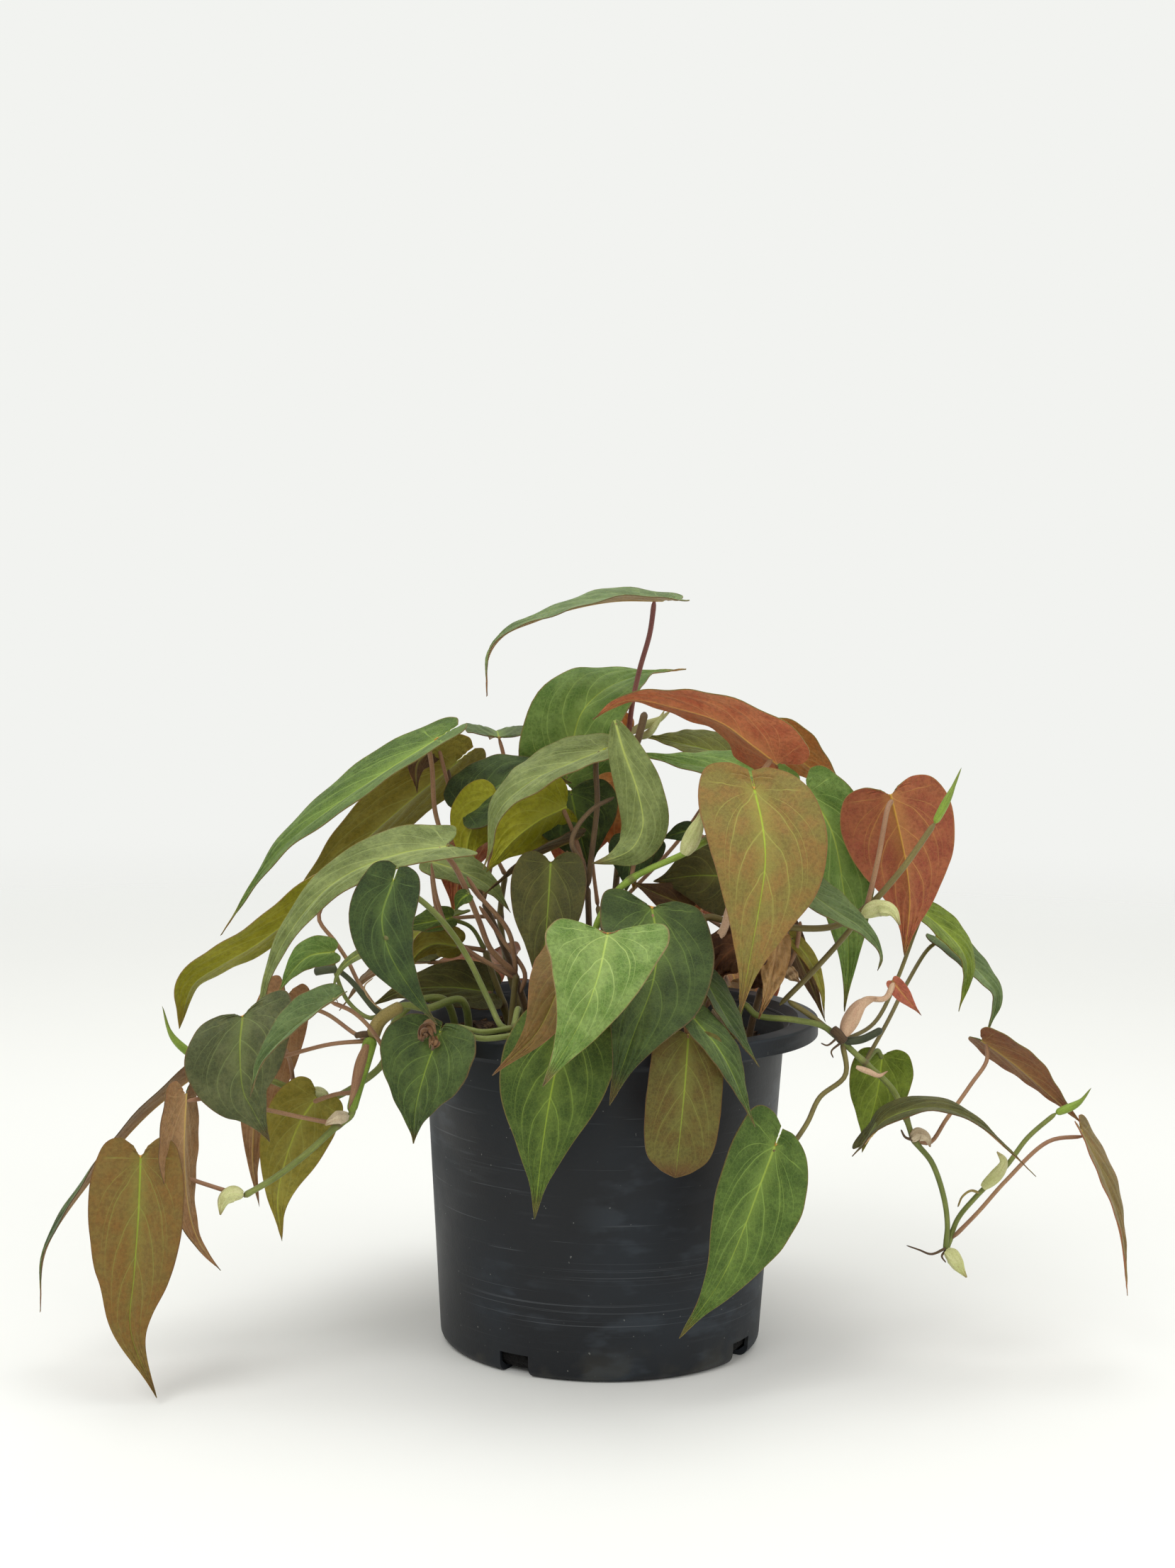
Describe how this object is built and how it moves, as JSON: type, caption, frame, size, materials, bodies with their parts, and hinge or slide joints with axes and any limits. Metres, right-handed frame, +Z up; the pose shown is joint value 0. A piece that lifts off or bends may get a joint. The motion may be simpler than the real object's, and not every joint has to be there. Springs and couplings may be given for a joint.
{
  "type": "potted micans philodendron",
  "caption": "Trailing houseplant with velvety heart leaves, green and bronze above and reddish below, in a black plastic nursery pot.",
  "frame": {"origin": "middle of the pot's flat base, on the floor", "axes": "+Z up, +X to the right and +Y away as the picture's viewer sees the plant"},
  "size_m": [0.4945, 0.2888, 0.3569],
  "materials": {
    "pot": "matte black polypropylene with dusty grey scuffs",
    "soil": "rough dark bark and peat potting mix",
    "fresh_foliage": "velvety fresh green leaf with a pale green midrib",
    "dark_foliage": "velvety dark green leaf with a lighter midrib",
    "olive_foliage": "velvety olive leaf with pale veins",
    "bronze_foliage": "velvety bronze leaf with a bright green midrib",
    "red_foliage": "satin brick red underside of a leaf with paler veins",
    "dry_foliage": "dry brown withered leaf"
  },
  "bodies": {
    "root": {"pot": "pot", "soil": "soil", "front_stem": "fresh_foliage", "front_right_stem": "dark_foliage", "olive_stem": "olive_foliage", "left_mid_stem": "olive_foliage", "left_high_stem": "fresh_foliage", "left_vine": "fresh_foliage", "left_back_vine": "dark_foliage", "left_front_stem": "dark_foliage", "left_rim_stem": "dark_foliage", "centre_left_stem": "olive_foliage", "centre_stem": "bronze_foliage", "back_centre_stem": "fresh_foliage", "right_back_stem": "dark_foliage", "right_spike_stem": "red_foliage", "right_vine": "fresh_foliage", "dry_leaf_stem": "dry_foliage", "back_left_stem": "dark_foliage", "back_stem": "olive_foliage", "back_right_stem": "bronze_foliage"}
  },
  "joints": []
}
